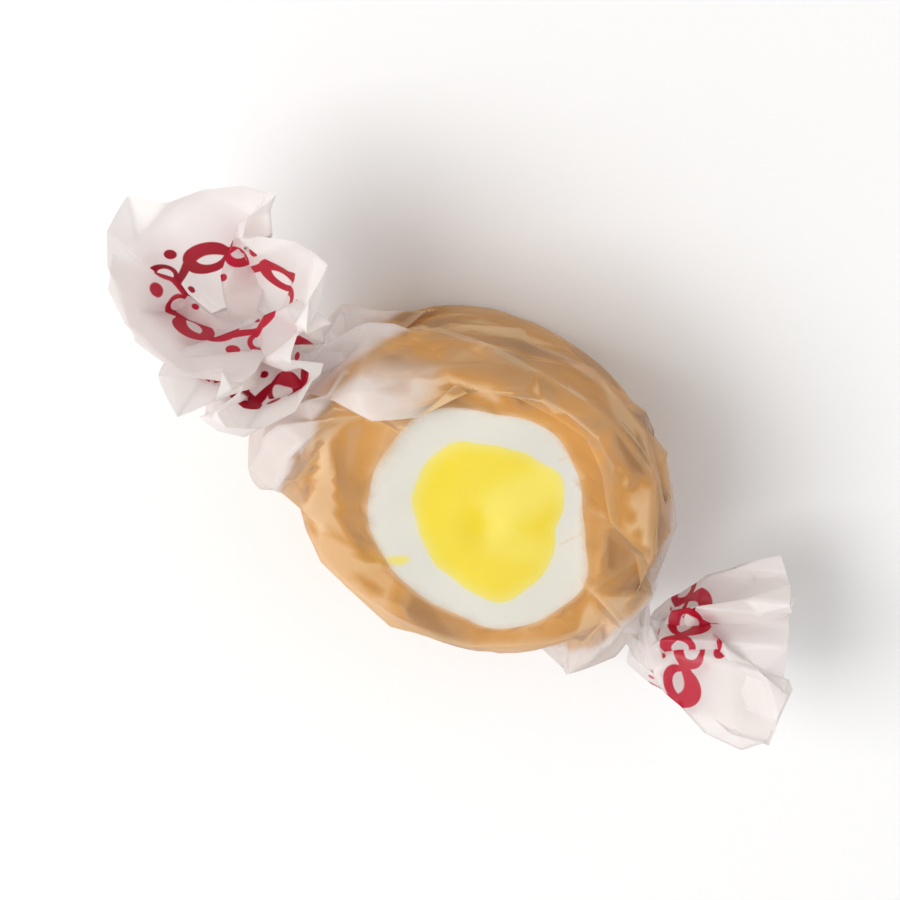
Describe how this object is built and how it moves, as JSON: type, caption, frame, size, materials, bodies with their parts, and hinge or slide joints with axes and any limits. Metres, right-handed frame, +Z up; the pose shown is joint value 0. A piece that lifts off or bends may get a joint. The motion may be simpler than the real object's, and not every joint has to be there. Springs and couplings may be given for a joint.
{
  "type": "salt water taffy",
  "caption": "Thick slice of layered pulled candy with a yellow core, in a twisted waxed-paper wrapper with ruffled ends, lying on a cut face.",
  "frame": {"origin": "centre of the flat face it rests on, under the middle of the candy", "axes": "+X along the twists, towards the narrower fan; +Y across them, towards the paper's lap; +Z up, out of the cut face that shows"},
  "size_m": [0.0599, 0.0225, 0.0235],
  "materials": {
    "yellow_taffy": "smooth, softly waxy yellow candy",
    "white_taffy": "smooth, softly waxy white candy",
    "caramel_taffy": "softly waxy caramel-brown candy with tiny pores",
    "waxed_paper": "thin translucent waxed paper, creased, with a red scroll pattern near both ends"
  },
  "bodies": {
    "root": {"yellow_core": "yellow_taffy", "white_layer": "white_taffy", "caramel_skin": "caramel_taffy", "wrapper": "waxed_paper"}
  },
  "joints": []
}
